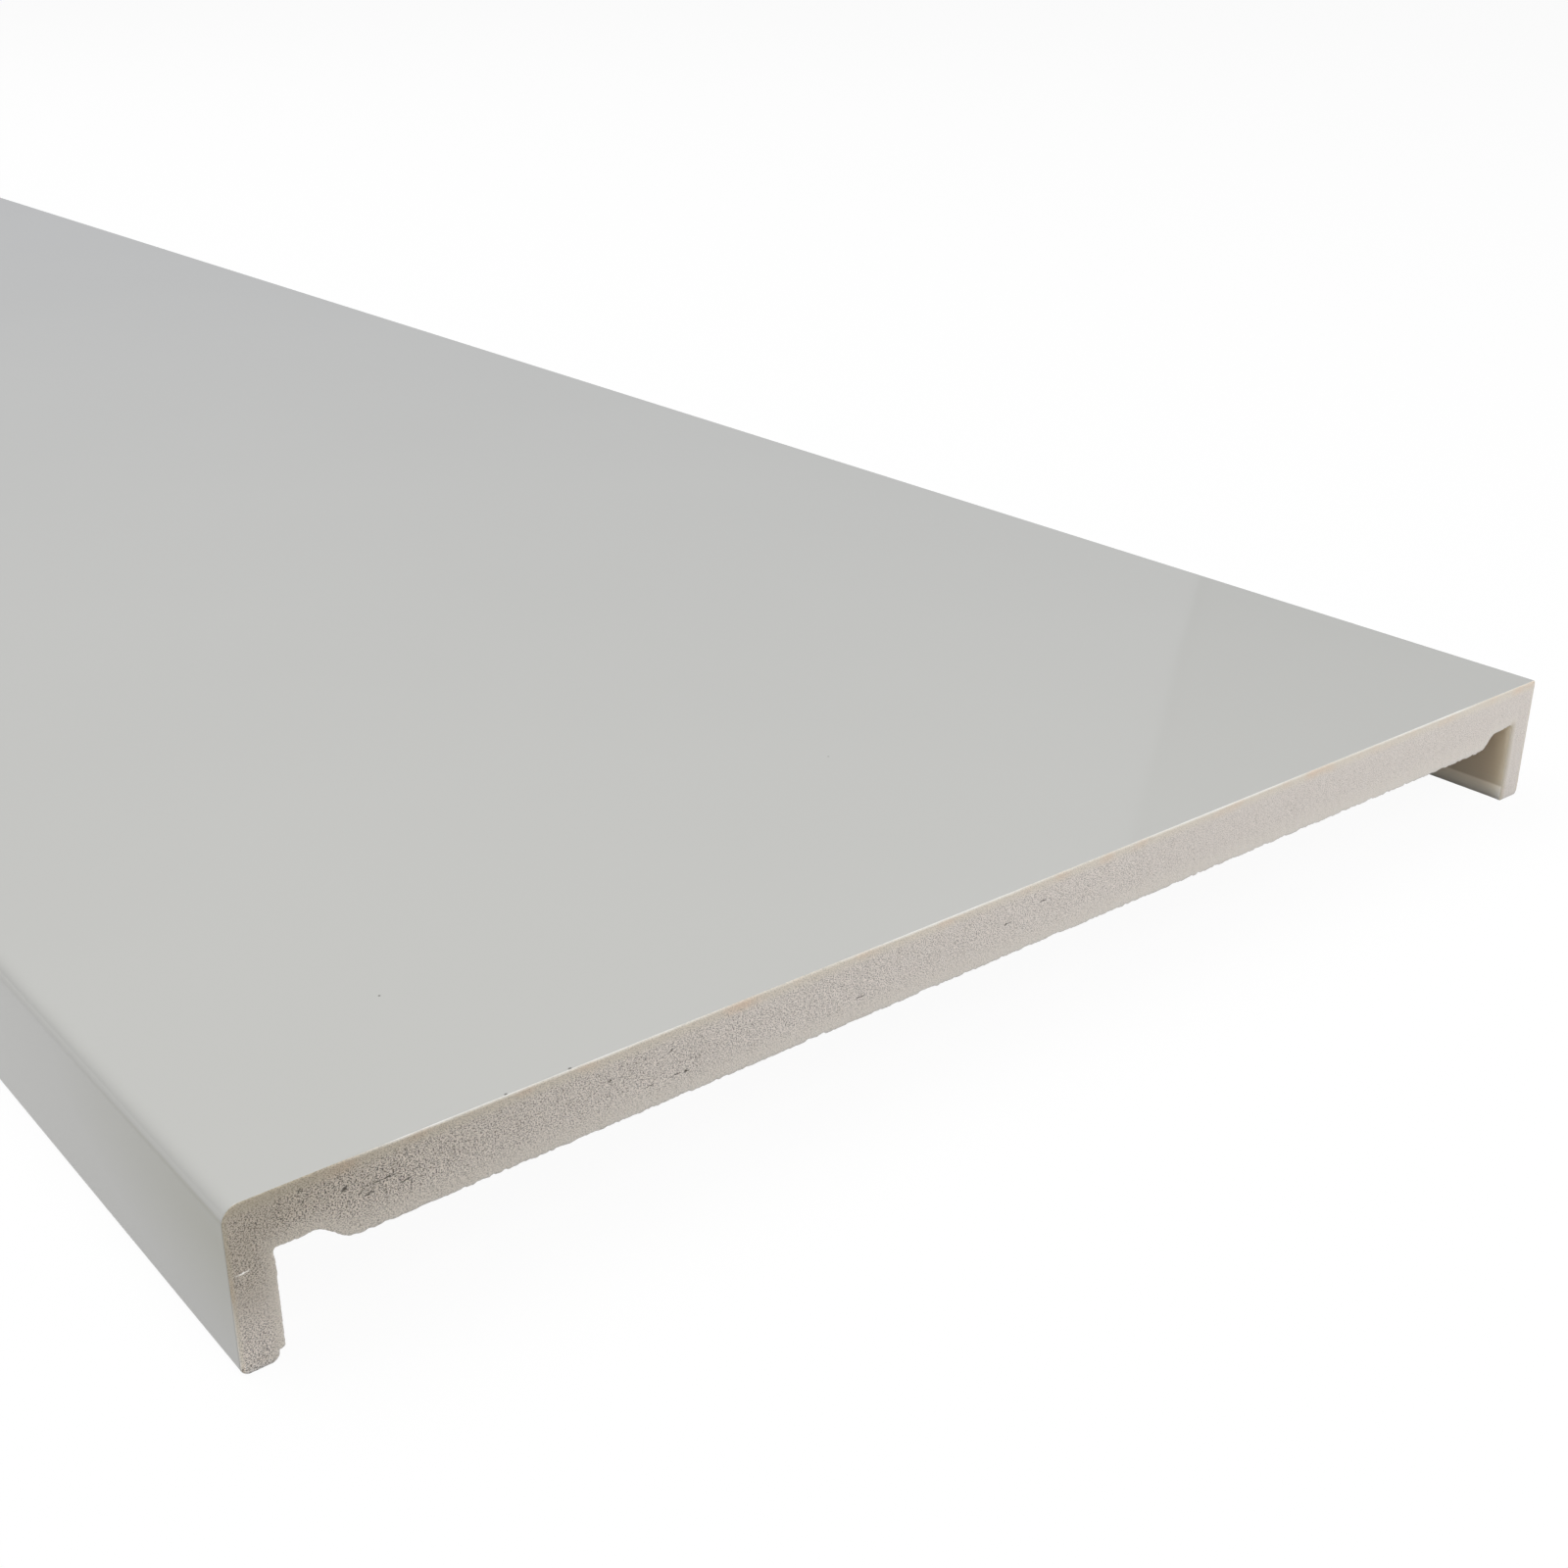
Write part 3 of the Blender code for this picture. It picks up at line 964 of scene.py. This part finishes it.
def make_core_material():
    """Foamed PVC, sawn: a matt warm white of fine cells, smooth and dense next to the skin.

    Torn cells show as dark and pale grains, coarse and dark where the saw went in, with painted shade
    round the near top corner. Pores and streaks of open cells run across the board in the middle of
    its thickness. Hollows, open cells and the far leg's inner side get painted shade, and the sawn
    skin's edge a painted highlight.
    """
    material, tree = new_material("foamed_pvc_sawn")
    place = add_node(tree, "ShaderNodeTexCoord").outputs["Object"]
    # The torn share also darkens the cut as painted shade round the near top corner
    foam, dense, torn, coarse, warm, rim_highlight, skin_line, hollow = (
        add_node(tree, "ShaderNodeAttribute", attribute_name=name).outputs["Fac"]
        for name in ("foam", "dense", "torn", "coarse", "warm", "rim_highlight", "skin_line", "hollow"))

    blotch = add_node(tree, "ShaderNodeTexNoise",
                      {"Vector": place, "Scale": 1 / BLUSH_LENGTH, "Detail": 1.0})
    blush = add_node(tree, "ShaderNodeMapRange",
                     {"Value": blotch, "From Min": BLUSH_NOISE[0], "From Max": BLUSH_NOISE[1],
                      "To Min": 0.0, "To Max": BLUSH_SHARE})
    next_to_skin = add_node(tree, "ShaderNodeMix", {0: blush, 6: linear(CORE_DENSE),
                                                    7: linear(CORE_BLUSH)}, data_type="RGBA")
    fine = add_node(tree, "ShaderNodeMath", {0: 1.0, 1: foam}, operation="SUBTRACT")
    foamed = add_node(tree, "ShaderNodeMix", {0: fine, 6: linear(CORE_FOAM), 7: linear(CORE_FINE)},
                      data_type="RGBA")
    sawn = add_node(tree, "ShaderNodeMix", {0: dense, 6: foamed, 7: next_to_skin}, data_type="RGBA")
    # Painted shade round the near top corner, with the torn foam's own tint: the base is darkened there
    torn_and_shade_tint = add_node(tree, "ShaderNodeMix", {0: torn, 6: linear("#FFFFFF"), 7: linear(TORN_AND_SHADE_TINT)},
                    data_type="RGBA")
    torn_and_shaded = add_node(tree, "ShaderNodeVectorMath", {0: sawn, 1: torn_and_shade_tint}, operation="MULTIPLY")
    # Painted shade along the far leg's inner side, and the near foot's amber, mixed into the base
    base = add_node(tree, "ShaderNodeMix", {0: warm, 6: torn_and_shaded, 7: linear(SHADE_AND_AMBER_COLOUR)},
                    data_type="RGBA")

    strength = add_node(tree, "ShaderNodeMath", {0: foam, 1: coarse}, operation="MULTIPLY")
    oblong = add_node(tree, "ShaderNodeMapping", {"Vector": place, "Scale": (1.0, GRAIN_LONG, 1.0)})
    grain = add_node(tree, "ShaderNodeTexNoise",
                     {"Vector": oblong, "Scale": 1 / GRAIN, "Detail": 1.0, "Roughness": 0.5})
    swing = add_node(tree, "ShaderNodeMapRange",
                     {"Value": grain, "From Min": GRAIN_NOISE[0], "From Max": GRAIN_NOISE[1],
                      "To Min": GRAIN_SWING[0], "To Max": GRAIN_SWING[1]})
    gain = add_node(tree, "ShaderNodeMath", {0: swing, 1: strength, 2: 1.0}, operation="MULTIPLY_ADD")
    grained = add_node(tree, "ShaderNodeVectorMath", {0: base, "Scale": gain}, operation="SCALE")

    drawn_out = add_node(tree, "ShaderNodeMapping", {"Vector": place, "Scale": (1, 1 / STREAK_LENGTH, 1)})
    streak = add_node(tree, "ShaderNodeTexNoise",
                      {"Vector": drawn_out, "Scale": 1 / STREAK_HEIGHT, "Detail": 1.0})
    streak_share = add_node(tree, "ShaderNodeMapRange",
                            {"Value": streak, "From Min": STREAK_NOISE[0], "From Max": STREAK_NOISE[1],
                             "To Min": 0.0, "To Max": STREAK_SHARE})
    cluster = add_node(tree, "ShaderNodeTexNoise",
                       {"Vector": place, "Scale": 1 / CROWD_LENGTH, "Detail": 0.0})
    crowd = add_node(tree, "ShaderNodeMapRange",
                     {"Value": cluster, "From Min": CROWD_NOISE[0], "From Max": CROWD_NOISE[1],
                      "To Min": CROWD_LEAST, "To Max": 1.0})
    streaks = add_node(tree, "ShaderNodeMath", {0: streak_share, 1: crowd}, operation="MULTIPLY")

    cell = add_node(tree, "ShaderNodeTexVoronoi", {"Vector": oblong, "Scale": 1 / PORE_STEP})
    lot = add_node(tree, "ShaderNodeSeparateColor", {"Color": cell.outputs["Color"]}).outputs["Red"]
    width = add_node(tree, "ShaderNodeMapRange", {"Value": lot, "From Min": PORES_SHUT, "From Max": 1.0,
                                                  "To Min": 0.0, "To Max": PORE_WIDEST})
    inside = add_node(tree, "ShaderNodeMath", {0: width, 1: cell.outputs["Distance"]},
                      operation="SUBTRACT")
    pore = add_node(tree, "ShaderNodeMapRange", {"Value": inside, "From Min": 0.0, "From Max": PORE_EDGE,
                                                 "To Min": 0.0, "To Max": PORE_SHARE})
    either = add_node(tree, "ShaderNodeMath", {0: pore, 1: streaks}, operation="MAXIMUM")
    opened = add_node(tree, "ShaderNodeMath", {0: either, 1: strength}, operation="MULTIPLY")
    pored = add_node(tree, "ShaderNodeMix", {0: opened, 6: grained, 7: linear(PORE_DARK)},
                     data_type="RGBA")

    marks = ragged_marks(tree, place, OPEN_CELLS)
    # Painted shade in hollows deeper than 0.12 mm and in the open cells
    hollow_shade = add_node(tree, "ShaderNodeMapRange",
                    {"Value": hollow, "From Min": SHADED_HOLLOW_DEPTH[0], "From Max": SHADED_HOLLOW_DEPTH[1],
                     "To Min": 0.0, "To Max": HOLLOW_SHADE_SHARE})
    shade_in_hollows = add_node(tree, "ShaderNodeMath", {0: hollow_shade, 1: marks}, operation="MAXIMUM")
    hollow_shaded = add_node(tree, "ShaderNodeMix", {0: shade_in_hollows, 6: pored, 7: linear(HOLLOW_SHADE_COLOUR)},
                      data_type="RGBA")
    scratch = ragged_marks(tree, place, [PALE_SCRATCH])
    scored = add_node(tree, "ShaderNodeMix", {0: scratch, 6: hollow_shaded, 7: linear(SCRATCH_COLOUR)},
                      data_type="RGBA")
    lined = add_node(tree, "ShaderNodeMix", {0: skin_line, 6: scored, 7: linear(SKIN_SHADE)},
                     data_type="RGBA")
    # Painted highlight along the skin's sawn edge
    highlighted = add_node(tree, "ShaderNodeMix", {0: rim_highlight, 6: lined, 7: linear(RIM_HIGHLIGHT_COLOUR)},
                     data_type="RGBA")

    rough = add_node(tree, "ShaderNodeMath", {0: grain, 1: strength}, operation="MULTIPLY")
    bump = add_node(tree, "ShaderNodeBump", {"Height": rough, "Distance": GRAIN_DEPTH, "Strength": 1.0})
    shader = add_node(tree, "ShaderNodeBsdfPrincipled",
                      {"Base Color": highlighted, "Roughness": CORE_ROUGHNESS, "IOR": SKIN_IOR,
                       "Subsurface Weight": 1.0, "Subsurface Radius": GLOW_REACH,
                       "Subsurface Scale": CORE_GLOW_DEPTH, "Normal": bump})
    add_node(tree, "ShaderNodeOutputMaterial", {"Surface": shader})
    return material


SHARP_ANGLE = 35


def make_board():
    """The finished board as one object, with its three finishes and a sharp edge round each cut."""
    places, faces, slots, values, on_map, loop_of = board_mesh()
    board = add_mesh("fascia_board_finished", places, faces,
                     [make_skin_material(), make_back_material(), make_core_material()])
    mesh = board.data
    mesh.polygons.foreach_set("material_index", slots.astype(np.int32))
    for name, value in values.items():
        layer = mesh.attributes.new(name, "FLOAT", "POINT")
        layer.data.foreach_set("value", value.astype(np.float32))
    mesh.uv_layers.new(name="OFBake").data.foreach_set("uv", on_map.astype(np.float32).ravel())
    mesh.shade_smooth()
    mesh.set_sharp_from_angle(angle=radians(SHARP_ANGLE))
    ends = np.zeros(2 * len(mesh.edges), np.int32)
    mesh.edges.foreach_get("vertices", ends)
    first, second = loop_of[ends[::2]], loop_of[ends[1::2]]
    sharp = np.zeros(len(mesh.edges), bool)
    mesh.edges.foreach_get("use_edge_sharp", sharp)
    mesh.edges.foreach_set("use_edge_sharp", sharp | ((first == second) & (first > 0)))
    mesh.update()
    return board


board = make_board()
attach(board, "root")
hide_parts("fascia_board")
